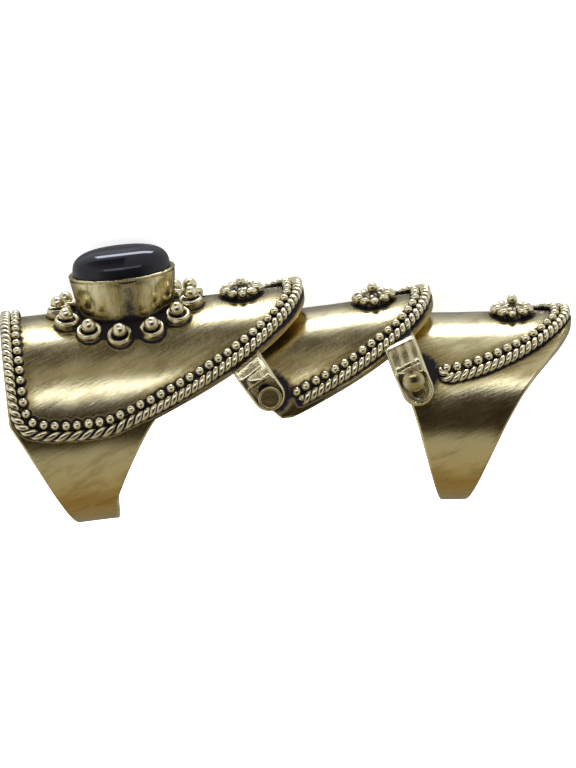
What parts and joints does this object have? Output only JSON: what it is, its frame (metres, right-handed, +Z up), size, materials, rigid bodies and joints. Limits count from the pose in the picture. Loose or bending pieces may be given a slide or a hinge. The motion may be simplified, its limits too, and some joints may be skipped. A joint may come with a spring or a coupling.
{
  "type": "statement ring",
  "caption": "Full-finger statement ring of three hinged saddle segments in antique brass, with rope and bead borders, bead rosettes and a black oval cabochon ringed by granules.",
  "frame": {"origin": "centre of the bounding box in plan, on the plane the ring lies on", "axes": "+X along the finger toward the fingertip, +Z up from the plane; the ring lies on its far flank, rolled toward the stone, so the near flank of the picture faces up and toward -Y"},
  "size_m": [0.0622, 0.0288, 0.0256],
  "materials": {
    "antique_brass": "satin antique brass with black patina in the recesses",
    "rivet_brass": "polished",
    "black_stone": "polished opaque black"
  },
  "bodies": {
    "base": {"base_segment": "antique_brass", "stone": "black_stone"},
    "rivets_1": {"rivet_1_near": "rivet_brass", "rivet_1_far": "rivet_brass"},
    "middle": {"middle_segment": "antique_brass"},
    "rivets_2": {"rivet_2_near": "rivet_brass", "rivet_2_far": "rivet_brass"},
    "tip": {"tip_segment": "antique_brass"}
  },
  "joints": [
    {"name": "rivets_1_slide", "type": "slide", "parent": "base", "child": "rivets_1", "axis": [-0.5264, 0.6805, -0.5098], "range_m": [0, 0.0008]},
    {"name": "middle_flex", "type": "hinge", "parent": "rivets_1", "child": "middle", "pos_m": [-0.00228, 0.00097, 0.01062], "axis": [-0.061, -0.6283, -0.7756], "range_deg": [0, 55]},
    {"name": "rivets_2_slide", "type": "slide", "parent": "middle", "child": "rivets_2", "axis": [0.3221, -0.7479, 0.5805], "range_m": [0, 0.0016]},
    {"name": "tip_flex", "type": "hinge", "parent": "rivets_2", "child": "tip", "pos_m": [0.01317, 0.00092, 0.00944], "axis": [-0.061, -0.6283, -0.7756], "range_deg": [0, 50]}
  ]
}
